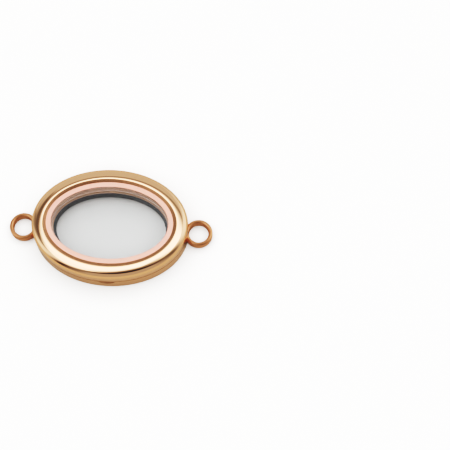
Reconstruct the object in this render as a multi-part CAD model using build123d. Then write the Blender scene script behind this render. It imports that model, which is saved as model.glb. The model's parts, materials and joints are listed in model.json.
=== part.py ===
from build123d import *
import os
from math import atan, degrees, pi, sqrt

# Locket pendant: an oval hinged locket with two glass panes, closed and lying on its back.
# Millimetres, +Z up. X runs along the long axis, from loop to loop. The hinge is at +Y and the
# opening side, with the thumb notch, at -Y. The origin is under the oval's centre, on the
# surface that the locket lies on.

# The oval and its two halves
oval_length = 30.0
oval_width = 22.0
base_thickness = 3.38
lid_thickness = 2.98
seam_gap = 0.04

# Rim of each half, from its outer edge inwards
face_width = 2.3
bevel_width = 0.55
bevel_depth = 0.25
lip_width = 0.9
seat_width = 0.2
front_shoulder = 1.1
back_shoulder = 0.45
seam_edge_radius = 0.12
inner_edge_radius = 0.5

# Glass panes, each set from outside into a pocket inside the lip
pane_thickness = 1.2
pane_below_lip = 0.1
pane_clearance = 0.04
pane_edge_chamfer = 0.1

# Loops at the two ends of the long axis, soldered to the base
loop_diameter = 5.35
loop_hole = 3.85
loop_height = 1.7
loop_floor = 0.42
loop_bite = 0.675
loop_outer_round = 0.35
loop_inner_round = 0.2

# Hinge: the lid's knuckle turns on a pin across a slot in the base's wall
hinge_inset = 0.7
hinge_drop = 0.98
slot_width = 4.15
slot_depth = 2.38
knuckle_radius = 0.7
knuckle_side_gap = 0.075
knuckle_back_gap = 0.1
tongue_front = 0.4
tongue_root = 0.4
pin_radius = 0.3
pin_clearance = 0.03
pin_grip = 0.85

# Magnets, let into the mating faces on the opening side
magnet_length = 4.7
magnet_width = 1.9
magnet_thickness = 1.0
magnet_clearance = 0.08
magnet_recess = 0.05
magnet_from_middle = 7.8

# Ball-headed catch pin in the base, and its socket in the lid
catch_head_radius = 0.55
catch_shank_radius = 0.35
catch_head_height = 0.75
catch_root = 1.2
catch_clearance = 0.02
socket_clearance = 0.25

# Thumb notch in the base's mating edge
notch_width = 3.5
notch_depth = 0.45
notch_height = 1.0

# Places that follow from the sizes above
half_length = oval_length / 2
half_width = oval_width / 2
lid_floor = base_thickness + seam_gap
total_height = lid_floor + lid_thickness
lip_inset = face_width + bevel_width
pocket_inset = lip_inset + lip_width
bore_inset = pocket_inset + seat_width
pocket_depth = bevel_depth + pane_below_lip + pane_thickness + pane_clearance
hinge_y = half_width - hinge_inset
hinge_z = base_thickness - hinge_drop
catch_y = -(half_width - bore_inset / 2)
past = 1.0

# Both rounds of a loop shrink together where its wall is too thin for them
loop_wall = (loop_diameter - loop_hole) / 2
rounds_share = 0.9
round_scale = min(1, rounds_share * loop_wall / (loop_outer_round + loop_inner_round))


def oval(inset, bottom, top):
    """Upright oval block, its outline inset from the locket's edge."""
    outline = Ellipse(half_length - inset, half_width - inset)
    return Pos(0, 0, bottom) * extrude(outline, top - bottom)


def block(x_range, y_range, z_range):
    """Box between pairs of limits."""
    size = [high - low for low, high in (x_range, y_range, z_range)]
    corner = Pos(x_range[0], y_range[0], z_range[0])
    return corner * Box(*size, align=(Align.MIN, Align.MIN, Align.MIN))


def cross_bar(radius, length):
    """Round bar along X on the hinge axis."""
    return Pos(0, hinge_y, hinge_z) * Rot(0, 90, 0) * Cylinder(radius, length)


def rim(thickness, shoulder):
    """One half's rim, its mating face at Z = 0 and its outer face up at Z = thickness."""
    ring = oval(0, 0, thickness)
    ring = fillet(ring.edges().group_by(Axis.Z)[-1], shoulder)
    ring = fillet(ring.edges().group_by(Axis.Z)[0], seam_edge_radius)
    lip_level = thickness - bevel_depth
    face_outline = Ellipse(half_length - face_width, half_width - face_width)
    lip_outline = Ellipse(half_length - lip_inset, half_width - lip_inset)
    bevel = loft([Pos(0, 0, lip_level) * lip_outline, Pos(0, 0, thickness) * face_outline], ruled=True)
    pocket = oval(pocket_inset, thickness - pocket_depth, thickness)
    ring = ring - bevel - pocket - oval(bore_inset, 0, thickness)
    inner_edge = ring.edges().group_by(Axis.Z)[0].sort_by(SortBy.LENGTH)[0]
    return fillet(inner_edge, inner_edge_radius)


def pane(lower_face):
    """Glass pane with its lower face at a height."""
    glass = oval(pocket_inset + pane_clearance, lower_face, lower_face + pane_thickness)
    return chamfer(glass.edges(), pane_edge_chamfer)


def loop(side):
    """Flat-banded ring at one end; side is -1 or 1."""
    band = Cylinder(loop_diameter / 2, loop_height)
    band = fillet(band.edges().filter_by(GeomType.CIRCLE), loop_outer_round * round_scale)
    band = band - Cylinder(loop_hole / 2, loop_height + past)
    hole_edges = band.edges().filter_by(lambda edge: abs(edge.length - pi * loop_hole) < 1e-3)
    band = fillet(hole_edges, loop_inner_round * round_scale)
    centre_x = half_length + loop_diameter / 2 - loop_bite
    return Pos(side * centre_x, 0, loop_floor + loop_height / 2) * band


def magnet_place(side, height):
    """Place on the middle line of the mating face, turned along it."""
    middle_length = half_length - bore_inset / 2
    middle_width = half_width - bore_inset / 2
    y = middle_width * sqrt(1 - (magnet_from_middle / middle_length) ** 2)
    slope = middle_width**2 * magnet_from_middle / (middle_length**2 * y)
    turn = side * degrees(atan(slope))
    return Pos(side * magnet_from_middle, -y, height) * Rot(0, 0, turn)


def magnet_bar(side, bottom, clearance, height):
    """Magnet, or with a clearance the pocket for it."""
    bar = Box(magnet_length + 2 * clearance, magnet_width + 2 * clearance, height)
    return magnet_place(side, bottom + height / 2) * bar


def upright_bar(radius, bottom, top):
    """Round bar along Z on the catch's axis."""
    return Pos(0, catch_y, (bottom + top) / 2) * Cylinder(radius, top - bottom)


def hinge_slot():
    """Slot in the base's wall for the knuckle."""
    back = hinge_y - knuckle_radius - knuckle_back_gap
    floor = base_thickness - slot_depth
    half_slot = slot_width / 2
    return block((-half_slot, half_slot), (back, half_width + past), (floor, base_thickness + past))


def hinge_relief():
    """What the base's mating edge loses outboard of the pin, so that the lid swings past."""
    corner = block(
        (-half_length, half_length),
        (hinge_y, half_width + past),
        (hinge_z, base_thickness + past),
    )
    return corner - cross_bar(hinge_drop, oval_length + past)


def thumb_notch():
    """Shallow round cut under the seam on the opening side."""
    cutter_radius = (notch_width**2 / 4 + notch_depth**2) / (2 * notch_depth)
    cutter = Cylinder(cutter_radius, notch_height + past)
    height = base_thickness - notch_height + (notch_height + past) / 2
    return Pos(0, -(half_width + cutter_radius - notch_depth), height) * cutter


def make_base():
    """Back half with the loops, hinge slot, thumb notch and the pockets in its mating face."""
    frame = Pos(0, 0, base_thickness) * Rot(180, 0, 0) * rim(base_thickness, back_shoulder)
    for side in (-1, 1):
        frame = frame + loop(side)
    frame = frame - hinge_relief() - hinge_slot() - thumb_notch()
    frame = frame - cross_bar(pin_radius + pin_clearance, slot_width + 2 * (pin_grip + pin_clearance))
    pocket_bottom = base_thickness - magnet_recess - magnet_thickness
    for side in (-1, 1):
        frame = frame - magnet_bar(side, pocket_bottom, magnet_clearance, magnet_thickness + past)
    root = base_thickness - catch_root - catch_clearance
    return frame - upright_bar(catch_shank_radius + catch_clearance, root, base_thickness + past)


def make_lid():
    """Front half with the hinge knuckle, the catch's socket and its magnets' pockets."""
    frame = Pos(0, 0, lid_floor) * rim(lid_thickness, front_shoulder)
    width = slot_width - 2 * knuckle_side_gap
    tongue = block(
        (-width / 2, width / 2),
        (hinge_y - knuckle_radius, hinge_y + tongue_front),
        (hinge_z, lid_floor + tongue_root),
    )
    frame = frame + tongue + cross_bar(knuckle_radius, width)
    frame = frame - cross_bar(pin_radius + pin_clearance, width + past)
    pocket_top = lid_floor + magnet_recess + magnet_thickness
    pocket_height = magnet_thickness + magnet_recess + seam_gap
    for side in (-1, 1):
        frame = frame - magnet_bar(side, pocket_top - pocket_height, magnet_clearance, pocket_height)
    socket_top = base_thickness + catch_head_height + catch_head_radius + socket_clearance
    return frame - upright_bar(catch_head_radius + socket_clearance, base_thickness, socket_top)


def make_catch():
    """Pin in the base's mating face with a ball head that enters the lid."""
    head_level = base_thickness + catch_head_height
    head = Pos(0, catch_y, head_level) * Sphere(catch_head_radius)
    return head + upright_bar(catch_shank_radius, base_thickness - catch_root, head_level)


nodes = {
    "base_frame": make_base(),
    "lid_frame": make_lid(),
    "base_glass": pane(bevel_depth + pane_below_lip),
    "lid_glass": pane(total_height - bevel_depth - pane_below_lip - pane_thickness),
    "catch_pin": make_catch(),
    "hinge_pin": cross_bar(pin_radius, slot_width + 2 * pin_grip),
}
for name, side in (("left", -1), ("right", 1)):
    base_bottom = base_thickness - magnet_recess - magnet_thickness
    nodes["base_magnet_" + name] = magnet_bar(side, base_bottom, 0, magnet_thickness)
    nodes["lid_magnet_" + name] = magnet_bar(side, lid_floor + magnet_recess, 0, magnet_thickness)

os.makedirs("parts", exist_ok=True)
for node, shape in nodes.items():
    export_step(shape, f"parts/{node}.step")
print("overall", [round(size, 3) for size in Compound(children=list(nodes.values())).bounding_box().size])
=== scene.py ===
"""Looks of an oval hinged glass locket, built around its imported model."""

import json
from math import asin, atan, cos, pi, radians, sin, sqrt, tan

import bmesh
import bpy
from bpy.props import FloatProperty, FloatVectorProperty, IntProperty, PointerProperty
from bpy.types import Operator, Panel, PropertyGroup
from mathutils import Matrix, Vector


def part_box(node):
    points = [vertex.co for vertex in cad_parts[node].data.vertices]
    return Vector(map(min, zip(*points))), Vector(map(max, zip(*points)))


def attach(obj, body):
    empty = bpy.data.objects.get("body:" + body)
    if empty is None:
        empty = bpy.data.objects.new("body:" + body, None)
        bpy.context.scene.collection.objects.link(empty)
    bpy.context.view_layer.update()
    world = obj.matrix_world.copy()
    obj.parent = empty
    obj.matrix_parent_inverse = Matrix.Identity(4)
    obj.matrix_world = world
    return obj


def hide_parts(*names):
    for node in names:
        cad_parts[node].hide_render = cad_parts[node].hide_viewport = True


bl_info = {
    "name": "Locket Pendant",
    "version": (1, 0, 0),
    "blender": (4, 5, 0),
    "location": "View3D > Sidebar > Locket",
    "description": "Builds a polished oval locket with glass panes, loops, hinge and magnets",
    "category": "Add Mesh",
}

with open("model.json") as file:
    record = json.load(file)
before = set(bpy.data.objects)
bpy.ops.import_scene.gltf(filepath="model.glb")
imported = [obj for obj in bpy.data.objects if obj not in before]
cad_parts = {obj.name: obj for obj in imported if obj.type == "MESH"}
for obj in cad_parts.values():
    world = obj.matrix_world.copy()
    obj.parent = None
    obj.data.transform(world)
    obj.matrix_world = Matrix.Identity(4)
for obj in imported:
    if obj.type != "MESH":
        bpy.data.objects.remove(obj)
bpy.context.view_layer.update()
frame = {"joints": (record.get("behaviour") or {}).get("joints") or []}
MM = 0.001
rim_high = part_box("lid_frame")[1]
base_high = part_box("base_frame")[1]
pane_low, pane_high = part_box("base_glass")
lid_pane_low, lid_pane_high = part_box("lid_glass")
magnet_low, magnet_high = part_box("base_magnet_right")
lid_magnet_low, lid_magnet_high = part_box("lid_magnet_right")
catch_low, catch_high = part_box("catch_pin")
catch_head = (catch_high.x - catch_low.x) / 2
catch_spot = Matrix.Translation((0, (catch_low.y + catch_high.y) / 2, 0))
pin_low, pin_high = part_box("hinge_pin")
pin_radius = (pin_high.z - pin_low.z) / 2
hinge_place = Vector(frame["joints"][0]["pos_m"])
# Lays a bar from Z onto the hinge's line
hinge_line = Matrix.Translation(hinge_place) @ Matrix.Rotation(pi / 2, 4, "Y")

# How far a cut reaches past the surface that it opens, and how far a pocket's second cut is lifted
OVER = 1 * MM
POCKET_LIFT = Vector((0, 0, 0.5 * MM))
# How far the black bead of painted shade is let into its neighbours
SUNK = 0.02 * MM
# Share of the hinge pin's radius that is bevelled off its ends
PIN_BEVEL = 1 / 6
# Points closer than these are one, where a profile closes and after the cuts
CLOSE_DISTANCE = 1e-6
WELD_DISTANCE = 1e-7
# Half angle from which a corner counts as straight, and turn up to which an edge is smooth
STRAIGHT = pi / 2 - 1e-6
SMOOTH_BELOW = radians(32)

# Steps round each round shape
PANE_STEPS = 256
LOOP_STEPS = 192
NOTCH_STEPS = 256
KNUCKLE_STEPS = 96
BORE_STEPS = 64
CATCH_STEPS = 64
PIN_STEPS = 48

# Steps along each arc
LOOP_ARC = 10
BALL_ARC = 28
SHADE_BEAD_ARC = 8
RELIEF_ARC = 32
EDGE_ARC = 3


def linear(code):
    """sRGB hex colour as linear red, green and blue."""
    channels = [int(code[i : i + 2], 16) / 255 for i in (1, 3, 5)]
    return [c / 12.92 if c <= 0.04045 else ((c + 0.055) / 1.055) ** 2.4 for c in channels]


def length(name, value, description):
    """A size in metres that a user can change."""
    return FloatProperty(
        name=name, description=description, default=value, min=0, unit="LENGTH", precision=5
    )


def angle(name, value, description):
    """An angle in degrees that a user can change."""
    return FloatProperty(
        name=name, description=description, default=radians(value), min=0, subtype="ANGLE"
    )


def count(name, value, least, description):
    """A number of steps that a user can change."""
    return IntProperty(name=name, description=description, default=value, min=least)


def colour(name, code, description):
    """A colour that a user can change."""
    return FloatVectorProperty(
        name=name, description=description, default=linear(code), min=0, max=1, subtype="COLOR"
    )


class LocketSizes(PropertyGroup):
    """Sizes of the rims, the loops and the pieces in them."""

    half_length: length("Half length", rim_high.x, "Half the oval's length")
    half_width: length("Half width", rim_high.y, "Half the oval's width")
    base_thickness: length("Base thickness", base_high.z, "Back face to mating face")
    seam_gap: length("Seam gap", 0.04 * MM, "Gap between the two mating faces")
    face_width: length("Face width", 2.22 * MM, "Outer edge to the bevel")
    crest_inset: length("Crest inset", 1.97 * MM, "Outer edge to the face's highest line")
    inner_tilt: angle("Inner tilt", 4, "Slope of the domed face at the bevel")
    outer_tilt: angle("Outer tilt", 6.5, "Slope of the domed face at its shoulder")
    bevel_width: length("Bevel width", 0.6 * MM, "Bevel between face and lip")
    bevel_depth: length("Bevel depth", 0.25 * MM, "Lip below the face")
    lip_width: length("Lip width", 0.93 * MM, "Satin lip round the pane")
    seat_width: length("Seat width", 0.2 * MM, "Ledge that the pane lies on")
    front_shoulder: length("Front shoulder", 1.1 * MM, "Radius of the front's outer edge")
    back_shoulder: length("Back shoulder", 0.45 * MM, "Radius of the back's outer edge")
    seam_radius: length("Seam radius", 0.17 * MM, "Radius of the edges at the seam")
    bore_radius: length("Bore radius", 0.5 * MM, "Radius of the mating face's inner edge")
    small_radius: length("Small radius", 0.04 * MM, "Radius of the crisp edges")
    pocket_depth: length("Pocket depth", 1.59 * MM, "Face to the pane's seat")
    pane_chamfer: length("Pane chamfer", 0.03 * MM, "Bevel of a pane's edges")
    glue_line: length("Glue line", 0.03 * MM, "What the glue adds to a pane's edge")
    # The black bead is painted shade along the edge of the base's pane
    shade_bead_width: length("Shade bead width", 0.45 * MM, "Width of the bead round the base's pane")
    shade_bead_height: length("Shade bead height", 1.2 * MM, "Height of the bead up the bore")
    loop_radius: length("Loop radius", 2.675 * MM, "Outside radius of a loop")
    loop_wall: length("Loop wall", 0.75 * MM, "Thickness of a loop's band")
    loop_height: length("Loop height", 1.7 * MM, "Height of a loop's band")
    loop_floor: length("Loop floor", 0.42 * MM, "Back face to a loop's lower edge")
    loop_outer_round: length("Outer round", 0.34 * MM, "Radius of a loop's outer edges")
    loop_inner_round: length("Inner round", 0.2 * MM, "Radius of a loop's inner edges")
    loop_ridge: length("Loop ridge", 0.1 * MM, "Rise of a loop's top to its middle")
    slot_width: length("Slot width", 4.15 * MM, "Slot in the base for the knuckle")
    slot_depth: length("Slot depth", 2.38 * MM, "Mating face to the slot's floor")
    slot_back: length("Slot back", 0.8 * MM, "Pin's line to the slot's back wall")
    knuckle_radius: length("Knuckle radius", 0.7 * MM, "Radius of the lid's knuckle")
    knuckle_gap: length("Knuckle gap", 0.075 * MM, "Gap at each end of the knuckle")
    tongue_front: length("Tongue front", 0.4 * MM, "Tongue outboard of the pin's line")
    tongue_root: length("Tongue root", 0.4 * MM, "Tongue's reach into the lid")
    pin_clearance: length("Pin clearance", 0.03 * MM, "Gap round the hinge pin")
    magnet_length: length("Magnet length", 4.7 * MM, "Length of a magnet")
    magnet_width: length("Magnet width", 1.9 * MM, "Width of a magnet")
    magnet_gap: length("Magnet gap", 0.08 * MM, "Gap round a magnet")
    magnet_edge: length("Magnet edge", 0.07 * MM, "Radius of a magnet's edges")
    catch_shank: length("Catch shank", 0.35 * MM, "Radius of the catch pin's shank")
    catch_gap: length("Catch gap", 0.02 * MM, "Gap round the shank")
    socket_gap: length("Socket gap", 0.25 * MM, "Gap round the catch pin's head")
    notch_width: length("Notch width", 3.5 * MM, "Width of the thumb notch")
    notch_depth: length("Notch depth", 0.5 * MM, "Depth of the thumb notch")
    notch_height: length("Notch height", 1.15 * MM, "Height of the thumb notch")
    around: count("Steps around", 512, 64, "Steps round the oval")
    arc_steps: count("Arc steps", 14, 2, "Steps in each rounded edge")


class LocketColours(PropertyGroup):
    """Colours of the finishes."""

    polished: colour("Polished plating", "#FDD0AA", "Plating on the polished faces")
    # Darker plating: painted shade in the bevel's step, the seam's groove and the thumb notch
    cast: colour("Plating with painted recess shade", "#B48C70", "Plating in the step and the seam's groove")
    satin: colour("Satin plating", "#F8B8A8", "Plating on the blasted lips")
    brushed: colour("Brushed plating", "#EEC8B4", "Plating on the brushed inner walls")
    # Partly the ground faces' own colour, partly painted shade on the faces at the seam and in the
    # walls of the cuts
    mating: colour("Mating faces", "#D6AC8C", "Plating on the ground mating faces")
    # Darker, redder plating on the loops: painted shade
    loops: colour("Loops' plating", "#E2AB86", "Plating on the tumbled loops")
    nickel: colour("Magnets", "#B4B1AB", "Nickel plating on the magnets")
    pin: colour("Hinge pin", "#D9B98F", "Drawn wire of the hinge pin")
    # A black bead of painted shade along the base pane's edge
    shade_bead: colour("Painted shade bead", "#171416", "Black bead of painted shade round the base's pane")
    glass: colour("Panes", "#FDFEFE", "Tint of the glass")
    # Painted on: the shaded wall behind the glue
    edge: colour("Panes' edges", "#B09382", "Ground edges of the panes, in their glue")
    floor: colour("Floor", "#F4F4F3", "Floor under the locket")
    # Painted shade: the floor's colour as rays off the metal see it
    floor_shade_in_metal: colour("Floor in the metal", "#978F83", "The floor as the metal shows it")


def add(tree, kind, values=(), **settings):
    """Adds a node with its settings, and its sockets' values or links, by name or in order."""
    node = tree.nodes.new(kind)
    for name, value in settings.items():
        setattr(node, name, value)
    given = values.items() if isinstance(values, dict) else enumerate(values)
    for socket, value in given:
        if isinstance(value, bpy.types.NodeSocket):
            tree.links.new(value, node.inputs[socket])
        else:
            node.inputs[socket].default_value = value
    return node


def empty_tree(owner):
    """Node tree of a material or a world, without the nodes that it comes with."""
    owner.use_nodes = True
    owner.node_tree.nodes.clear()
    return owner.node_tree


def new_material(name):
    """Material, its tree, and the piece's own coordinates in it."""
    material = bpy.data.materials.new(name)
    tree = empty_tree(material)
    return material, tree, add(tree, "ShaderNodeTexCoord").outputs["Object"]


def opaque(shade, share=1):
    """A colour, or a share of its brightness, with full alpha."""
    return (*[c * share for c in shade], 1)


def polished_plating(colours):
    """Rose-gold PVD on buffed steel: mirror bright, with faint buffing haze in the reflections."""
    material, tree, place = new_material("Rose-gold plating, buffed")
    # a buffing wheel leaves bands about 3 mm wide
    haze = add(tree, "ShaderNodeTexNoise", {"Vector": place, "Scale": 1 / (3 * MM), "Detail": 3})
    rough = add(tree, "ShaderNodeMapRange", [haze.outputs[0], 0.3, 0.7, 0.03, 0.06])
    values = {"Base Color": opaque(colours.polished), "Metallic": 1, "Roughness": rough.outputs[0]}
    shader = add(tree, "ShaderNodeBsdfPrincipled", values)
    add(tree, "ShaderNodeOutputMaterial", [shader.outputs[0]])
    return material


def tumbled_plating(colours):
    """The same plating over tumbled loops, with an even, softened shine; their darker, redder
    colour is painted shade.
    """
    material, tree, place = new_material("Rose-gold plating, tumbled")
    # tumbling chips leave marks about 0.7 mm across
    values = {"Vector": place, "Scale": 1 / (0.7 * MM), "Detail": 3}
    chips = add(tree, "ShaderNodeTexNoise", values)
    rough = add(tree, "ShaderNodeMapRange", [chips.outputs[0], 0, 1, 0.3, 0.33])
    # the loops' darker, redder colour is painted shade
    values = {"Base Color": opaque(colours.loops), "Metallic": 1, "Roughness": rough.outputs[0]}
    shader = add(tree, "ShaderNodeBsdfPrincipled", values)
    add(tree, "ShaderNodeOutputMaterial", [shader.outputs[0]])
    return material


def recess_shade_plating(colours):
    """The same plating in the bevel's step, the seam's groove and the thumb notch: dull, and
    darker with painted shade.
    """
    material, tree, place = new_material("Rose-gold plating, with painted recess shade")
    # casting sand of about 0.4 mm, as coarse as it needs to show
    values = {"Vector": place, "Scale": 1 / (0.4 * MM), "Detail": 3}
    skin = add(tree, "ShaderNodeTexNoise", values)
    tone = add(tree, "ShaderNodeMapRange", [skin.outputs[0], 0.3, 0.7, 0.8, 1])
    # the plating's darker colour is painted shade; the sand only varies it
    tint = add(tree, "ShaderNodeVectorMath", [colours.cast, tone.outputs[0]], operation="MULTIPLY")
    values = {"Base Color": tint.outputs[0], "Metallic": 0.9, "Roughness": 0.36}
    shader = add(tree, "ShaderNodeBsdfPrincipled", values)
    add(tree, "ShaderNodeOutputMaterial", [shader.outputs[0]])
    return material


def satin_plating(colours):
    """The same plating over a bead-blasted lip: pinker, with a fine even grain."""
    material, tree, place = new_material("Rose-gold plating, bead blasted")
    # glass beads of about 0.1 mm
    values = {"Vector": place, "Scale": 1 / (0.11 * MM), "Detail": 2}
    grain = add(tree, "ShaderNodeTexNoise", values)
    dents = {"Height": grain.outputs[0], "Strength": 0.25, "Distance": 0.01 * MM}
    bump = add(tree, "ShaderNodeBump", dents)
    values = {"Base Color": opaque(colours.satin), "Metallic": 0.75, "Roughness": 0.42}
    shader = add(tree, "ShaderNodeBsdfPrincipled", values | {"Normal": bump.outputs[0]})
    add(tree, "ShaderNodeOutputMaterial", [shader.outputs[0]])
    return material


def brushed_plating(colours):
    """The same plating over a bore that is brushed from face to face, darkened away from its seam
    towards the panes with painted shade.
    """
    material, tree, place = new_material("Rose-gold plating, brushed bore")
    # brush lines run up the bore; real ones of 0.05 mm wouldn't show, so these are 0.2 mm wide
    lines = add(tree, "ShaderNodeMapping", {"Vector": place, "Scale": (1, 1, 0.02)})
    values = {"Vector": lines.outputs[0], "Scale": 1 / (0.2 * MM), "Detail": 4}
    streak = add(tree, "ShaderNodeTexNoise", values)
    tone = add(tree, "ShaderNodeMapRange", [streak.outputs[0], 0.3, 0.7, 0.93, 1])
    values = [colours.brushed, tone.outputs[0]]
    tint = add(tree, "ShaderNodeVectorMath", values, operation="MULTIPLY")
    # painted shade: the bore darkens to half from 0.3 mm to 1.4 mm off the seam, towards the panes
    level = add(tree, "ShaderNodeSeparateXYZ", [place]).outputs[2]
    off_seam = add(tree, "ShaderNodeMath", [level, base_high.z], operation="SUBTRACT")
    reach = add(tree, "ShaderNodeMath", [off_seam.outputs[0]], operation="ABSOLUTE")
    cavity_shade = add(tree, "ShaderNodeMapRange", [reach.outputs[0], 0.3 * MM, 1.4 * MM, 1, 0.5])
    values = [tint.outputs[0], cavity_shade.outputs[0]]
    tint_with_shade = add(tree, "ShaderNodeVectorMath", values, operation="MULTIPLY")
    grooves = {"Height": streak.outputs[0], "Strength": 0.15, "Distance": 0.01 * MM}
    bump = add(tree, "ShaderNodeBump", grooves)
    values = {"Base Color": tint_with_shade.outputs[0], "Metallic": 0.6, "Roughness": 0.34}
    shader = add(tree, "ShaderNodeBsdfPrincipled", values | {"Normal": bump.outputs[0]})
    add(tree, "ShaderNodeOutputMaterial", [shader.outputs[0]])
    return material


def mating_plating(colours):
    """The same plating over a ground face, darker where it rubs; its colour, darker than the
    buffed plating's, is partly the ground face's own and partly painted shade.
    """
    material, tree, place = new_material("Rose-gold plating, ground mating face")
    # rubbing leaves patches about 1.1 mm across
    values = {"Vector": place, "Scale": 1 / (1.1 * MM), "Detail": 5}
    patches = add(tree, "ShaderNodeTexNoise", values)
    tone = add(tree, "ShaderNodeMapRange", [patches.outputs[0], 0.3, 0.75, 0.86, 1])
    values = [colours.mating, tone.outputs[0]]
    tint = add(tree, "ShaderNodeVectorMath", values, operation="MULTIPLY")
    values = {"Base Color": tint.outputs[0], "Metallic": 1, "Roughness": 0.36}
    shader = add(tree, "ShaderNodeBsdfPrincipled", values)
    add(tree, "ShaderNodeOutputMaterial", [shader.outputs[0]])
    return material


def nickel(colours):
    """Nickel-plated magnets: dull grey with a soft sheen and small marks."""
    material, tree, place = new_material("Nickel plating on magnets")
    # handling marks of about 0.4 mm
    values = {"Vector": place, "Scale": 1 / (0.4 * MM), "Detail": 6}
    scuffs = add(tree, "ShaderNodeTexNoise", values)
    tone = add(tree, "ShaderNodeMapRange", [scuffs.outputs[0], 0.35, 0.6, 0.85, 1])
    values = [colours.nickel, tone.outputs[0]]
    tint = add(tree, "ShaderNodeVectorMath", values, operation="MULTIPLY")
    rough = add(tree, "ShaderNodeMapRange", [scuffs.outputs[0], 0.3, 0.7, 0.28, 0.42])
    values = {"Base Color": tint.outputs[0], "Metallic": 1, "Roughness": rough.outputs[0]}
    shader = add(tree, "ShaderNodeBsdfPrincipled", values)
    add(tree, "ShaderNodeOutputMaterial", [shader.outputs[0]])
    return material


def drawn_wire(colours):
    """The hinge pin: plain drawn wire, plated with the rest."""
    material, tree, place = new_material("Drawn wire, plated")
    # the die scratches the wire lengthways, here 0.17 mm apart so that the lines show
    lines = add(tree, "ShaderNodeMapping", {"Vector": place, "Scale": (0.05, 1, 1)})
    values = {"Vector": lines.outputs[0], "Scale": 1 / (0.17 * MM), "Detail": 2}
    scratch = add(tree, "ShaderNodeTexNoise", values)
    rough = add(tree, "ShaderNodeMapRange", [scratch.outputs[0], 0, 1, 0.15, 0.35])
    values = {"Base Color": opaque(colours.pin), "Metallic": 1, "Roughness": rough.outputs[0]}
    shader = add(tree, "ShaderNodeBsdfPrincipled", values)
    add(tree, "ShaderNodeOutputMaterial", [shader.outputs[0]])
    return material


def pane_glass(colours):
    """Flat soda-lime glass: clear, with a trace of handling in its reflections."""
    material, tree, place = new_material("Soda-lime glass, polished")
    # a fingertip leaves smears about 8 mm across
    smear = add(tree, "ShaderNodeTexNoise", {"Vector": place, "Scale": 1 / (8 * MM), "Detail": 4})
    rough = add(tree, "ShaderNodeMapRange", [smear.outputs[0], 0.45, 0.75, 0, 0.02])
    values = {"Base Color": opaque(colours.glass), "Roughness": rough.outputs[0]}
    # soda-lime glass has an IOR of 1.52; the photographed panes hardly reflect
    values |= {"Transmission Weight": 1, "IOR": 1.43, "Specular IOR Level": 0.3}
    shader = add(tree, "ShaderNodeBsdfPrincipled", values)
    path = add(tree, "ShaderNodeLightPath").outputs
    rays = [path["Is Shadow Ray"], path["Is Diffuse Ray"]]
    soft = add(tree, "ShaderNodeMath", rays, operation="MAXIMUM")
    clear = add(tree, "ShaderNodeBsdfTransparent")
    values = [soft.outputs[0], shader.outputs[0], clear.outputs[0]]
    both = add(tree, "ShaderNodeMixShader", values)
    add(tree, "ShaderNodeOutputMaterial", [both.outputs[0]])
    return material


def ground_edge(colours):
    """The pane's ground edge in its clear glue: frosted, with the shaded pink wall behind it
    painted on as its colour.
    """
    material, tree, place = new_material("Soda-lime glass, ground edge")
    # grinding grit of about 0.25 mm, as coarse as it needs to show
    values = {"Vector": place, "Scale": 1 / (0.25 * MM), "Detail": 2}
    grit = add(tree, "ShaderNodeTexNoise", values)
    tone = add(tree, "ShaderNodeMapRange", [grit.outputs[0], 0.3, 0.7, 0.85, 1])
    tint = add(tree, "ShaderNodeVectorMath", [colours.edge, tone.outputs[0]], operation="MULTIPLY")
    values = {"Base Color": tint.outputs[0], "Roughness": 0.55, "Specular IOR Level": 0.2}
    shader = add(tree, "ShaderNodeBsdfPrincipled", values)
    add(tree, "ShaderNodeOutputMaterial", [shader.outputs[0]])
    return material


def shade_bead_rubber(colours):
    """A black bead wiped into the corner: painted shade along the base pane's edge, a soft dark
    line without shine.
    """
    material, tree, place = new_material("Black bead, painted shade")
    # wiping leaves ripples about 0.4 mm wide
    values = {"Vector": place, "Scale": 1 / (0.4 * MM), "Detail": 2}
    ripple = add(tree, "ShaderNodeTexNoise", values)
    rough = add(tree, "ShaderNodeMapRange", [ripple.outputs[0], 0, 1, 0.45, 0.65])
    values = {"Base Color": opaque(colours.shade_bead), "Roughness": rough.outputs[0]}
    shader = add(tree, "ShaderNodeBsdfPrincipled", values)
    add(tree, "ShaderNodeOutputMaterial", [shader.outputs[0]])
    return material


def rounded(corners, steps):
    """Closed outline of (across, up, finish), with an arc at each corner that has a radius."""
    points = []
    for i, (across, up, radius, finish) in enumerate(corners):
        corner = Vector((across, up))
        before = (Vector(corners[i - 1][:2]) - corner).normalized()
        after = (Vector(corners[(i + 1) % len(corners)][:2]) - corner).normalized()
        half = before.angle(after) / 2
        if radius == 0 or half > STRAIGHT:
            points.append((across, up, finish))
            continue
        middle = corner + (before + after).normalized() * radius / sin(half)
        start = corner + before * radius / tan(half) - middle
        end = corner + after * radius / tan(half) - middle
        turn = start.angle(end)
        for k in range(steps + 1):
            share = k / steps
            spoke = (start * sin((1 - share) * turn) + end * sin(share * turn)) / sin(turn)
            points.append((*(middle + spoke), finish))
    return points + [points[0]]


FINISHES = ("Polished", "Bevel", "Lip", "Bore", "Mating")
POLISHED, BEVEL, LIP, BORE, MATING = range(len(FINISHES))


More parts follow.
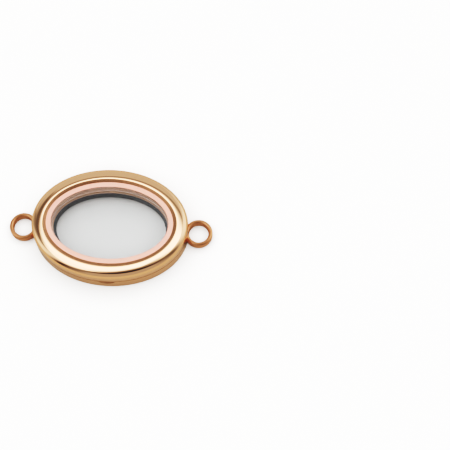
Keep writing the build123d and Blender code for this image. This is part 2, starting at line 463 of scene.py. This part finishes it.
def turning_tree():
    """Nodes that turn a profile round an oval: its X is the inset from the edge, its Z height."""
    tree = bpy.data.node_groups.new("Oval turning", "GeometryNodeTree")
    tree.is_modifier = True
    sockets = [("Profile", "NodeSocketGeometry"), ("Half length", "NodeSocketFloat")]
    sockets += [("Half width", "NodeSocketFloat"), ("Around", "NodeSocketInt")]
    sockets += [(name, "NodeSocketMaterial") for name in FINISHES]
    for name, kind in sockets:
        tree.interface.new_socket(name, in_out="INPUT", socket_type=kind)
    tree.interface.new_socket("Part", in_out="OUTPUT", socket_type="NodeSocketGeometry")
    given = add(tree, "NodeGroupInput").outputs
    profile = given["Profile"]
    size = add(tree, "GeometryNodeAttributeDomainSize", {"Geometry": profile})
    corners = size.outputs["Point Count"]
    steps = add(tree, "ShaderNodeMath", [given["Around"], 1], operation="ADD").outputs[0]
    values = {"Size X": 1, "Size Y": 1, "Vertices X": steps, "Vertices Y": corners}
    grid = add(tree, "GeometryNodeMeshGrid", values)
    place = add(tree, "GeometryNodeInputPosition").outputs[0]
    split = add(tree, "ShaderNodeSeparateXYZ", [place]).outputs
    along = add(tree, "ShaderNodeMath", [split[0], 0.5], operation="ADD").outputs[0]
    across = add(tree, "ShaderNodeMath", [split[1], 0.5], operation="ADD").outputs[0]
    last = add(tree, "ShaderNodeMath", [corners, 1], operation="SUBTRACT").outputs[0]
    exact = add(tree, "ShaderNodeMath", [across, last], operation="MULTIPLY").outputs[0]
    row = add(tree, "ShaderNodeMath", [exact], operation="ROUND").outputs[0]
    strip = add(tree, "ShaderNodeMath", [exact], operation="FLOOR").outputs[0]
    mark = add(tree, "GeometryNodeInputNamedAttribute", {"Name": "finish"}, data_type="INT")
    values = {"Geometry": profile, "Value": mark.outputs[0], "Index": strip}
    finish = add(tree, "GeometryNodeSampleIndex", values, data_type="INT")
    marked = add(
        tree,
        "GeometryNodeStoreNamedAttribute",
        {"Geometry": grid.outputs[0], "Name": "finish", "Value": finish.outputs[0]},
        data_type="INT",
        domain="FACE",
    )
    values = {"Geometry": profile, "Value": place, "Index": row}
    point = add(tree, "GeometryNodeSampleIndex", values, data_type="FLOAT_VECTOR")
    drawn = add(tree, "ShaderNodeSeparateXYZ", [point.outputs[0]]).outputs
    sweep = add(tree, "ShaderNodeMath", [along, 2 * pi], operation="MULTIPLY").outputs[0]
    spots = []
    for half, wave in (("Half length", "COSINE"), ("Half width", "SINE")):
        reach = add(tree, "ShaderNodeMath", [given[half], drawn[0]], operation="SUBTRACT")
        swing = add(tree, "ShaderNodeMath", [sweep], operation=wave)
        values = [reach.outputs[0], swing.outputs[0]]
        spots.append(add(tree, "ShaderNodeMath", values, operation="MULTIPLY").outputs[0])
    spot = add(tree, "ShaderNodeCombineXYZ", [*spots, drawn[2]])
    values = {"Geometry": marked.outputs[0], "Position": spot.outputs[0]}
    shaped = add(tree, "GeometryNodeSetPosition", values)
    values = {"Geometry": shaped.outputs[0], "Distance": CLOSE_DISTANCE}
    closed = add(tree, "GeometryNodeMergeByDistance", values)
    part = add(tree, "GeometryNodeRealizeInstances", [closed.outputs[0]])
    for number, name in enumerate(FINISHES):
        values = {"A": mark.outputs[0], "B": number}
        chosen = add(tree, "FunctionNodeCompare", values, data_type="INT", operation="EQUAL")
        values = {"Geometry": part.outputs[0], "Selection": chosen.outputs[0]}
        part = add(tree, "GeometryNodeSetMaterial", values | {"Material": given[name]})
    add(tree, "NodeGroupOutput", [part.outputs[0]])
    return tree


def plain_mesh(source):
    """The evaluated shape of an object as a mesh; the object is removed."""
    shape = source.evaluated_get(bpy.context.evaluated_depsgraph_get())
    mesh = bpy.data.meshes.new_from_object(shape)
    bpy.data.objects.remove(source)
    return mesh


def scratch_object(name, content):
    """Object in the scene for a mesh, a lamp or a camera."""
    made = bpy.data.objects.new(name, content)
    bpy.context.scene.collection.objects.link(made)
    return made


def turned(profile, half_length, half_width, finishes, around, place=None):
    """Mesh of a profile turned round an oval, moved by a matrix."""
    line = bpy.data.meshes.new("profile")
    edges = [(i, i + 1) for i in range(len(profile) - 1)]
    line.from_pydata([(across, 0, up) for across, up, _ in profile], edges, [])
    finish_marks = line.attributes.new("finish", "INT", "POINT")
    finish_marks.data.foreach_set("value", [finish for _, _, finish in profile])
    source = scratch_object("profile", line)
    nodes = source.modifiers.new("Oval turning", "NODES")
    tree = bpy.data.node_groups.get("Oval turning") or turning_tree()
    nodes.node_group = tree
    inputs = [item for item in tree.interface.items_tree if item.in_out == "INPUT"]
    ids = {item.name: item.identifier for item in inputs}
    nodes[ids["Half length"]] = half_length
    nodes[ids["Half width"]] = half_width
    nodes[ids["Around"]] = around
    for name, material in zip(FINISHES, finishes):
        nodes[ids[name]] = material
    mesh = plain_mesh(source)
    mesh.transform(place or Matrix.Identity(4))
    return outward(mesh)


def outward(mesh):
    """Turns the faces of a closed mesh outwards."""
    work = bmesh.new()
    work.from_mesh(mesh)
    bmesh.ops.recalc_face_normals(work, faces=work.faces)
    work.to_mesh(mesh)
    work.free()
    return mesh


def bmesh_mesh(work, material):
    """Mesh of a bmesh in one material; the bmesh is freed."""
    mesh = bpy.data.meshes.new("shape")
    work.to_mesh(mesh)
    work.free()
    mesh.materials.append(material)
    return outward(mesh)


def block(x_range, y_range, z_range, material, edge=0, place=None):
    """Mesh of a box between pairs of limits, with rounded edges, moved by a matrix."""
    low, high = [Vector(pair) for pair in zip(x_range, y_range, z_range)]
    work = bmesh.new()
    bmesh.ops.create_cube(
        work, size=1, matrix=Matrix.LocRotScale((low + high) / 2, None, high - low)
    )
    if edge:
        bmesh.ops.bevel(
            work, geom=work.edges, offset=edge, segments=EDGE_ARC, profile=0.5, affect="EDGES"
        )
    work.transform(place or Matrix.Identity(4))
    return bmesh_mesh(work, material)


def rod(radius, z_range, material, place, steps=BORE_STEPS):
    """Mesh of a round bar along Z, moved by a matrix."""
    work = bmesh.new()
    bmesh.ops.create_cone(
        work,
        cap_ends=True,
        segments=steps,
        radius1=radius,
        radius2=radius,
        depth=z_range[1] - z_range[0],
        matrix=Matrix.Translation((0, 0, sum(z_range) / 2)),
    )
    work.transform(place)
    return bmesh_mesh(work, material)


def combine(mesh, tools, operation):
    """Mesh after each tool mesh is joined to it or cut out of it."""
    for tool in tools:
        body = scratch_object("body", mesh)
        other = scratch_object("tool", tool)
        step = body.modifiers.new("combine", "BOOLEAN")
        step.operation = operation
        step.solver = "EXACT"
        step.material_mode = "TRANSFER"
        step.object = other
        mesh = plain_mesh(body)
        bpy.data.objects.remove(other)
    return mesh


def shaded(name, mesh):
    """Piece with crisp edges and even shading."""
    work = bmesh.new()
    work.from_mesh(mesh)
    bmesh.ops.remove_doubles(work, verts=work.verts, dist=WELD_DISTANCE)
    for face in work.faces:
        face.smooth = True
    for edge in work.edges:
        edge.smooth = len(edge.link_faces) == 2 and edge.calc_face_angle(0) < SMOOTH_BELOW
    work.to_mesh(mesh)
    work.free()
    source = scratch_object(name + "_work", mesh)
    shading = source.modifiers.new("shading", "WEIGHTED_NORMAL")
    shading.keep_sharp = True
    piece = scratch_object(name, plain_mesh(source))
    piece.data.name = name
    return piece


def finished(name, mesh, body, slot, *nodes):
    """Shades a piece, which rides on a body in place of its CAD nodes."""
    piece = shaded(name, mesh)
    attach(piece, body)
    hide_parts(*nodes)


def rose_gold(colours):
    """The finishes of the plated metal, in the order of FINISHES."""
    makers = {
        "buffed": polished_plating,
        "with painted recess shade": recess_shade_plating,
        "bead blasted": satin_plating,
        "brushed bore": brushed_plating,
        "ground mating face": mating_plating,
    }
    finishes = []
    for way, maker in makers.items():
        finishes.append(bpy.data.materials.get("Rose-gold plating, " + way) or maker(colours))
    return finishes


def bore_inset(sizes):
    """How far the bore lies inside the oval's edge."""
    return sizes.face_width + sizes.bevel_width + sizes.lip_width + sizes.seat_width


def rim_profile(sizes, thickness, shoulder):
    """Outline of one rim: mating face at 0, outer face at its thickness."""
    s = sizes
    lip_inset = s.face_width + s.bevel_width
    pocket_inset = lip_inset + s.lip_width
    lip_level = thickness - s.bevel_depth
    seat_level = thickness - s.pocket_depth
    start = shoulder * tan(pi / 4 - s.outer_tilt / 2)
    dome = []
    for k in range(s.arc_steps + 1):
        across = start + (s.face_width - start) * k / s.arc_steps
        past_crest = across - s.crest_inset
        if past_crest > 0:
            edge_tilt, reach = s.inner_tilt, s.face_width - s.crest_inset
        else:
            edge_tilt, reach = s.outer_tilt, s.crest_inset - start
        drop = tan(edge_tilt) * past_crest**2 / (2 * reach)
        dome.append((across, thickness - drop, 0, POLISHED))
    # The seam's rounded edge and the bevel take the darker plating, which is painted shade
    corners = [
        (0, 0, s.seam_radius, BEVEL),
        (0, s.seam_radius, 0, POLISHED),
        (0, dome[0][1] - start * tan(s.outer_tilt), shoulder, POLISHED),
        *dome[1:-1],
        (*dome[-1][:3], BEVEL),
        (lip_inset, lip_level, s.small_radius, LIP),
        (pocket_inset, lip_level, s.small_radius, LIP),
        (pocket_inset, lip_level - s.small_radius, 0, BORE),
        (pocket_inset, seat_level, 0, BORE),
        (bore_inset(s), seat_level, s.small_radius, BORE),
        (bore_inset(s), 0, s.bore_radius, MATING),
    ]
    return rounded(corners, s.arc_steps)


def magnet_block(sizes, side, low, high, gap, material, edge=0):
    """Magnet or its pocket, turned along the rim on the right or the left."""
    middle = (low + high) / 2
    long_half = sizes.half_length - bore_inset(sizes) / 2
    wide_half = sizes.half_width - bore_inset(sizes) / 2
    slope = wide_half**2 * middle.x / (long_half**2 * -middle.y)
    spot = Matrix.Translation((side * middle.x, middle.y, middle.z))
    place = spot @ Matrix.Rotation(side * atan(slope), 4, "Z")
    halves = (sizes.magnet_length / 2 + gap, sizes.magnet_width / 2 + gap, (high.z - low.z) / 2)
    return block(*[(-half, half) for half in halves], material, edge, place)


def magnet_pockets(sizes, low, high, lift, material):
    """Meshes that cut a half's two pockets: each a bar, and the bar lifted out of the face."""
    cuts = []
    for side in (-1, 1):
        for raised in (Vector((0, 0, 0)), lift):
            ends = low + raised, high + raised
            cuts.append(magnet_block(sizes, side, *ends, sizes.magnet_gap, material))
    return cuts


def loop_rings(sizes, material):
    """Meshes of the two loops, each a band turned round its hole."""
    s = sizes
    shoulder = s.loop_height - s.loop_ridge
    band = [
        (0, 0, s.loop_outer_round, POLISHED),
        (0, shoulder, s.loop_inner_round, POLISHED),
        (s.loop_wall / 2, s.loop_height, s.small_radius, POLISHED),
        (s.loop_wall, shoulder, s.loop_inner_round, POLISHED),
        (s.loop_wall, 0, s.loop_inner_round, POLISHED),
    ]
    outline = rounded(band, LOOP_ARC)
    finishes = [material] * len(FINISHES)
    rings = []
    for side in (-1, 1):
        place = Matrix.Translation((side * (base_high.x - s.loop_radius), 0, s.loop_floor))
        rings.append(turned(outline, s.loop_radius, s.loop_radius, finishes, LOOP_STEPS, place))
    return rings


def notch_scoop(sizes, material):
    """Mesh that cuts the thumb notch: widest at the seam, and run out to nothing below it."""
    depth = sizes.notch_depth
    radius = (sizes.notch_width**2 / 4 + depth**2) / (2 * depth)
    place = Matrix.Translation((0, -(sizes.half_width + radius - depth), 0))
    tall = sizes.notch_height / sqrt(1 - (1 - depth / radius) ** 2)
    seam = Vector((0, 0, sizes.base_thickness))
    squash = Matrix.LocRotScale(seam, None, Vector((radius, radius, tall)))
    work = bmesh.new()
    bmesh.ops.create_uvsphere(work, u_segments=NOTCH_STEPS, v_segments=NOTCH_STEPS // 2, radius=1)
    work.transform(place @ squash)
    return bmesh_mesh(work, material)


def hinge_relief(sizes, material):
    """Mesh of what the base's edge loses outboard of the pin, so that the lid swings past."""
    drop = sizes.base_thickness - hinge_place.z
    past_wall, past_seam = sizes.half_width + OVER, sizes.base_thickness + OVER
    outline = []
    for k in range(RELIEF_ARC + 1):
        turn = pi / 2 * k / RELIEF_ARC
        outline.append((hinge_place.y + drop * sin(turn), hinge_place.z + drop * cos(turn)))
    outline += [(past_wall, hinge_place.z), (past_wall, past_seam), (hinge_place.y, past_seam)]
    work = bmesh.new()
    ends = []
    for side in (-1, 1):
        ends.append([work.verts.new((side * sizes.half_length, y, z)) for y, z in outline])
        work.faces.new(ends[-1])
    for i in range(len(outline)):
        j = (i + 1) % len(outline)
        work.faces.new((ends[0][i], ends[0][j], ends[1][j], ends[1][i]))
    return bmesh_mesh(work, material)


class LOCKET_OT_base(Operator):
    """Back rim with its loops, hinge slot, thumb notch and pockets"""

    bl_idname = "locket.base"
    bl_label = "Base rim"

    def execute(self, context):
        s = context.scene.locket_sizes
        finishes = rose_gold(context.scene.locket_colours)
        mating = finishes[MATING]
        flip = Matrix.Translation((0, 0, s.base_thickness)) @ Matrix.Rotation(pi, 4, "X")
        profile = rim_profile(s, s.base_thickness, s.back_shoulder)
        rim = turned(profile, s.half_length, s.half_width, finishes, s.around, flip)
        loops = loop_rings(s, tumbled_plating(context.scene.locket_colours))
        rim = combine(rim, loops, "UNION")
        half_slot = s.slot_width / 2
        slot = block(
            (-half_slot, half_slot),
            (hinge_place.y - s.slot_back, s.half_width + OVER),
            (s.base_thickness - s.slot_depth, s.base_thickness + OVER),
            mating,
        )
        half_bore = pin_high.x + s.pin_clearance
        bore = rod(pin_radius + s.pin_clearance, (-half_bore, half_bore), mating, hinge_line)
        # the notch is cut in the bevel's darker plating, which paints shade into it
        cuts = [hinge_relief(s, finishes[POLISHED]), slot, notch_scoop(s, finishes[BEVEL]), bore]
        cuts += magnet_pockets(s, magnet_low, magnet_high, POCKET_LIFT, mating)
        root = (catch_low.z - s.catch_gap, s.base_thickness + OVER)
        cuts.append(rod(s.catch_shank + s.catch_gap, root, mating, catch_spot, PIN_STEPS))
        rim = combine(rim, cuts, "DIFFERENCE")
        finished("base_rim", rim, "base", "rose_gold_plate", "base_frame")
        return {"FINISHED"}


class LOCKET_OT_lid(Operator):
    """Front rim with its hinge knuckle, the catch's socket and its magnets' pockets"""

    bl_idname = "locket.lid"
    bl_label = "Lid rim"

    def execute(self, context):
        s = context.scene.locket_sizes
        finishes = rose_gold(context.scene.locket_colours)
        polished, mating = finishes[POLISHED], finishes[MATING]
        lid_floor = s.base_thickness + s.seam_gap
        lift = Matrix.Translation((0, 0, lid_floor))
        profile = rim_profile(s, rim_high.z - lid_floor, s.front_shoulder)
        rim = turned(profile, s.half_length, s.half_width, finishes, s.around, lift)
        half = s.slot_width / 2 - s.knuckle_gap
        tongue = block(
            (-half, half),
            (hinge_place.y - s.knuckle_radius, hinge_place.y + s.tongue_front),
            (hinge_place.z, lid_floor + s.tongue_root),
            polished,
        )
        knuckle = rod(s.knuckle_radius, (-half, half), polished, hinge_line, KNUCKLE_STEPS)
        rim = combine(rim, [tongue, knuckle], "UNION")
        through = (-half - OVER, half + OVER)
        cuts = [rod(pin_radius + s.pin_clearance, through, mating, hinge_line)]
        cuts += magnet_pockets(s, lid_magnet_low, lid_magnet_high, -POCKET_LIFT, mating)
        socket = (lid_floor - OVER, catch_high.z + s.socket_gap)
        cuts.append(rod(catch_head + s.socket_gap, socket, mating, catch_spot))
        rim = combine(rim, cuts, "DIFFERENCE")
        finished("lid_rim", rim, "lid", "rose_gold_plate", "lid_frame")
        return {"FINISHED"}


class LOCKET_OT_panes(Operator):
    """Glass panes of the base and the lid"""

    bl_idname = "locket.panes"
    bl_label = "Glass panes"

    def execute(self, context):
        s = context.scene.locket_sizes
        finishes = [pane_glass(context.scene.locket_colours)] * len(FINISHES)
        finishes[BORE] = ground_edge(context.scene.locket_colours)
        edge = s.pane_chamfer
        places = (("base", pane_low, pane_high), ("lid", lid_pane_low, lid_pane_high))
        for body, low, high in places:
            half_length, half_width = high.x + s.glue_line, high.y + s.glue_line
            profile = [
                (half_width, low.z, POLISHED),
                (edge, low.z, BORE),
                (0, low.z + edge, BORE),
                (0, high.z - edge, BORE),
                (edge, high.z, POLISHED),
                (half_width, high.z, POLISHED),
            ]
            pane = turned(profile, half_length, half_width, finishes, PANE_STEPS)
            finished(body + "_pane", pane, body, "clear_glass", body + "_glass")
        return {"FINISHED"}


class LOCKET_OT_shade_bead(Operator):
    """Black bead of painted shade where the base's pane meets the bore"""

    bl_idname = "locket.seal"
    bl_label = "Painted shade bead at the base's pane"

    def execute(self, context):
        s = context.scene.locket_sizes
        black = shade_bead_rubber(context.scene.locket_colours)
        wall = bore_inset(s)
        hidden = wall - SUNK
        level = pane_high.z - SUNK
        profile = [(hidden, level, POLISHED), (wall + s.shade_bead_width, level, POLISHED)]
        for k in range(SHADE_BEAD_ARC + 1):
            turn = pi / 2 * k / SHADE_BEAD_ARC
            across = wall + s.shade_bead_width * (1 - sin(turn))
            up = level + SUNK + s.shade_bead_height * (1 - cos(turn))
            profile.append((across, up, POLISHED))
        profile.append((hidden, level + SUNK + s.shade_bead_height, POLISHED))
        profile.append(profile[0])
        finishes = [black] * len(FINISHES)
        bead = turned(profile, s.half_length, s.half_width, finishes, PANE_STEPS)
        piece = shaded("base_shade_bead", bead)
        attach(piece, "base")
        return {"FINISHED"}


class LOCKET_OT_pins(Operator):
    """Ball-headed catch pin and the hinge's pin"""

    bl_idname = "locket.pins"
    bl_label = "Catch and hinge pins"

    def execute(self, context):
        s = context.scene.locket_sizes
        colours = context.scene.locket_colours
        head = catch_head
        level = catch_high.z - head
        neck = asin(s.catch_shank / head)
        profile = [(head, catch_low.z, POLISHED), (head - s.catch_shank, catch_low.z, POLISHED)]
        for k in range(BALL_ARC + 1):
            turn = pi - neck - (pi - neck) * k / BALL_ARC
            profile.append((head - head * sin(turn), level + head * cos(turn), POLISHED))
        pin = turned(profile, head, head, rose_gold(colours), CATCH_STEPS, catch_spot)
        finished("catch", pin, "base", "rose_gold_plate", "catch_pin")
        radius, long_half = pin_radius, pin_high.x
        edge = radius * PIN_BEVEL
        profile = [
            (radius, -long_half, POLISHED),
            (edge, -long_half, POLISHED),
            (0, edge - long_half, POLISHED),
            (0, long_half - edge, POLISHED),
            (edge, long_half, POLISHED),
            (radius, long_half, POLISHED),
        ]
        finishes = [drawn_wire(colours)] * len(FINISHES)
        pin = turned(profile, radius, radius, finishes, PIN_STEPS, hinge_line)
        finished("hinge_wire", pin, "base", "pin_steel", "hinge_pin")
        return {"FINISHED"}


class LOCKET_OT_magnets(Operator):
    """The four bar magnets"""

    bl_idname = "locket.magnets"
    bl_label = "Magnets"

    def execute(self, context):
        s = context.scene.locket_sizes
        metal = nickel(context.scene.locket_colours)
        places = (("base", magnet_low, magnet_high), ("lid", lid_magnet_low, lid_magnet_high))
        for body, low, high in places:
            for name, side in (("left", -1), ("right", 1)):
                bar = magnet_block(s, side, low, high, 0, metal, s.magnet_edge)
                piece = f"{body}_bar_{name}"
                finished(piece, bar, body, "nickel_magnet", f"{body}_magnet_{name}")
        return {"FINISHED"}


# Camera as fitted to the photograph, with the pixel of the body's centre in 450 x 450
VIEW_ELEVATION = radians(71.3)
VIEW_TURN = radians(2.4)
VIEW_DISTANCE = 272.1 * MM
VIEW_START = 10 * MM
PIXELS_PER_MM = 5.185
PICTURE = 450
BODY_PIXEL = (110.6, 227.4)
SENSOR = 36

# Board under the locket, and the share of its colour that the metal shows through a pane, which is
# painted shade
FLOOR_REACH = 600 * MM
FLOOR_THICKNESS = 10 * MM
FLOOR_SHADE_THROUGH_GLASS = 0.36

# Square lamp over the board, which lights it and doesn't show
LAMP_SIZE = 1.5
LAMP_HEIGHT = 1
LAMP_POWER = 28.3

# Studio's brightness at the horizon and from this height up, between its cards
HORIZON = 0.51
CEILING = 0.28
CEILING_START = radians(50)

# Studio round the locket: compass direction (0 is away from the camera, 90 is right), height,
# half width and half height in degrees, width of the soft edge in degrees, and brightness
CARDS = (
    ("back wall", -13, 23, 44, 42, 3, 0.64),
    ("front wall", 172, 36, 34, 25, 18, 0.48),
    ("camera and its arm", 180, 77, 62, 13, 10, 0.07),
    ("left softbox", -112, 42, 25, 38, 32, 1.14),
    ("right softbox", 64, 39, 29, 37, 40, 1.31),
    ("flag left of the camera", -136, 22, 10, 32, 31, 0.03),
    ("flag right of the camera", 116, 40, 7, 25, 20, 0.20),
    ("flag behind left", -55, 60, 11, 13, 26, 0.25),
    ("screen behind left", -43, 66, 16, 5, 4, 0.20),
    ("overhead strip left", -58, 76.2, 57, 5.8, 6, 2.21),
    ("overhead strip behind", 7, 75.4, 52, 5.2, 8, 2.50),
)

# Camera's response: scene brightness up to WHITE against picture brightness, as film has it
WHITE = 2.25
RESPONSE = (
    (0.063, 0.021),
    (0.106, 0.045),
    (0.182, 0.127),
    (0.282, 0.262),
    (0.435, 0.456),
    (0.569, 0.578),
    (0.714, 0.68),
    (0.981, 0.791),
    (1.295, 0.871),
    (1.714, 0.939),
)


class LOCKET_OT_stage(Operator):
    """Floor, studio light and camera"""

    bl_idname = "locket.stage"
    bl_label = "Stage"

    def execute(self, context):
        reach = (-FLOOR_REACH, FLOOR_REACH)
        board = floor_board(context.scene.locket_colours)
        floor_mesh = block(reach, reach, (-FLOOR_THICKNESS, 0), board)
        floor = scratch_object("floor", floor_mesh)
        studio(context.scene)
        lamp = scratch_object("floor light", bpy.data.lights.new("floor light", "AREA"))
        lamp.data.size = LAMP_SIZE
        lamp.data.energy = LAMP_POWER
        lamp.location = (0, 0, LAMP_HEIGHT)
        lamp.visible_camera = False
        lamp.visible_glossy = False
        lamp.visible_transmission = False
        camera = scratch_object("camera", bpy.data.cameras.new("camera"))
        camera.location, camera.rotation_euler = camera_place()
        camera.data.sensor_width = SENSOR
        camera.data.lens = PIXELS_PER_MM / MM * VIEW_DISTANCE / PICTURE * SENSOR
        camera.data.clip_start = VIEW_START
        context.scene.camera = camera
        respond(context.scene.view_settings)
        return {"FINISHED"}


def respond(view):
    """Gives the view the camera's response."""
    view.view_transform = "Standard"
    view.use_curve_mapping = True
    mapping = view.curve_mapping
    mapping.white_level = (WHITE, WHITE, WHITE)
    for scene_level, picture_level in RESPONSE:
        mapping.curves[3].points.new(scene_level / WHITE, picture_level)
    mapping.update()


def floor_board(colours):
    """Matt white acrylic board, with painted shade where the metal shows it: greyer and warmer
    than it looks, and darker through a pane.
    """
    material = bpy.data.materials.new("White acrylic board")
    tree = empty_tree(material)
    values = {"Base Color": opaque(colours.floor), "Roughness": 0.6, "Specular IOR Level": 0.3}
    shader = add(tree, "ShaderNodeBsdfPrincipled", values)
    # painted shade: rays off glossy surfaces see the floor as a plain diffuse grey, darker still
    # after a pane
    path = add(tree, "ShaderNodeLightPath").outputs
    direct, through = opaque(colours.floor_shade_in_metal), opaque(colours.floor, FLOOR_SHADE_THROUGH_GLASS)
    values = {"Factor": path["Is Transmission Ray"], 6: direct, 7: through}
    tone = add(tree, "ShaderNodeMix", values, data_type="RGBA")
    dim = add(tree, "ShaderNodeBsdfDiffuse", {"Color": tone.outputs[2]})
    values = [path["Is Glossy Ray"], shader.outputs[0], dim.outputs[0]]
    both = add(tree, "ShaderNodeMixShader", values)
    add(tree, "ShaderNodeOutputMaterial", [both.outputs[0]])
    return material


def camera_place():
    """Camera's place and rotation, so that the body's centre falls on its pixel."""
    right = Vector((cos(VIEW_TURN), sin(VIEW_TURN), 0))
    level = Vector((sin(VIEW_TURN), -cos(VIEW_TURN), 0))
    back = level * cos(VIEW_ELEVATION) + Vector((0, 0, sin(VIEW_ELEVATION)))
    up = back.cross(right)
    offset = [(PICTURE / 2 - pixel) / PIXELS_PER_MM * MM for pixel in BODY_PIXEL]
    centre = Vector((0, 0, rim_high.z / 2))
    eye = centre + right * offset[0] - up * offset[1] + back * VIEW_DISTANCE
    return eye, Matrix((right, up, back)).transposed().to_euler()


def studio(scene):
    """World with soft cards round the locket and a bright horizon, plain to the camera."""
    world = bpy.data.worlds.new("Studio")
    scene.world = world
    tree = empty_tree(world)
    way = add(tree, "ShaderNodeTexCoord").outputs["Generated"]
    split = add(tree, "ShaderNodeSeparateXYZ", [way]).outputs
    compass = add(tree, "ShaderNodeMath", [split[0], split[1]], operation="ARCTAN2").outputs[0]
    height = add(tree, "ShaderNodeMath", [split[2]], operation="ARCSINE").outputs[0]
    values = [height, 0, CEILING_START, HORIZON, CEILING]
    light = add(tree, "ShaderNodeMapRange", values).outputs[0]
    for name, turn, level, half_wide, half_high, soft, bright in CARDS:
        across = add(tree, "ShaderNodeMath", [compass, radians(turn)], operation="SUBTRACT")
        wrapped = add(tree, "ShaderNodeMath", [across.outputs[0], pi, -pi], operation="WRAP")
        up = add(tree, "ShaderNodeMath", [height, radians(level)], operation="SUBTRACT")
        shares = []
        for value, half in ((wrapped, half_wide), (up, half_high)):
            size = add(tree, "ShaderNodeMath", [value.outputs[0]], operation="ABSOLUTE")
            limits = radians(half + soft / 2), radians(half - soft / 2)
            values = [size.outputs[0], *limits, 0, 1]
            edge = add(tree, "ShaderNodeMapRange", values, interpolation_type="SMOOTHSTEP")
            shares.append(edge.outputs[0])
        share = add(tree, "ShaderNodeMath", shares, operation="MULTIPLY")
        values = {"Factor": share.outputs[0], "A": light, "B": bright}
        light = add(tree, "ShaderNodeMix", values, data_type="FLOAT", label=name).outputs[0]
    ray = add(tree, "ShaderNodeLightPath").outputs["Is Camera Ray"]
    seen = add(tree, "ShaderNodeMix", {"Factor": ray, "A": light, "B": 1}, data_type="FLOAT")
    background = add(tree, "ShaderNodeBackground", [(1, 1, 1, 1), seen.outputs[0]])
    add(tree, "ShaderNodeOutputWorld", [background.outputs[0]])


class LOCKET_PT_panel(Panel):
    """Lists the locket's pieces"""

    bl_idname = "LOCKET_PT_panel"
    bl_label = "Locket"
    bl_space_type = "VIEW_3D"
    bl_region_type = "UI"
    bl_category = "Locket"

    def draw(self, context):
        for operator in OPERATORS:
            self.layout.operator(operator.bl_idname)
        for group in (context.scene.locket_sizes, context.scene.locket_colours):
            column = self.layout.column()
            for name in group.bl_rna.properties.keys():
                if name not in ("rna_type", "name"):
                    column.prop(group, name)


OPERATORS = (
    LOCKET_OT_stage,
    LOCKET_OT_base,
    LOCKET_OT_lid,
    LOCKET_OT_panes,
    LOCKET_OT_shade_bead,
    LOCKET_OT_pins,
    LOCKET_OT_magnets,
)
CLASSES = (LocketSizes, LocketColours, *OPERATORS, LOCKET_PT_panel)


def register():
    """Registers the classes, and gives the scene its sizes and colours."""
    for cls in CLASSES:
        bpy.utils.register_class(cls)
    bpy.types.Scene.locket_sizes = PointerProperty(type=LocketSizes)
    bpy.types.Scene.locket_colours = PointerProperty(type=LocketColours)


def unregister():
    """Undoes what register does."""
    del bpy.types.Scene.locket_colours
    del bpy.types.Scene.locket_sizes
    for cls in reversed(CLASSES):
        bpy.utils.unregister_class(cls)


def main():
    """Builds the stage and every piece."""
    register()
    for operator in OPERATORS:
        module, name = operator.bl_idname.split(".")
        getattr(getattr(bpy.ops, module), name)()


if __name__ == "__main__":
    main()
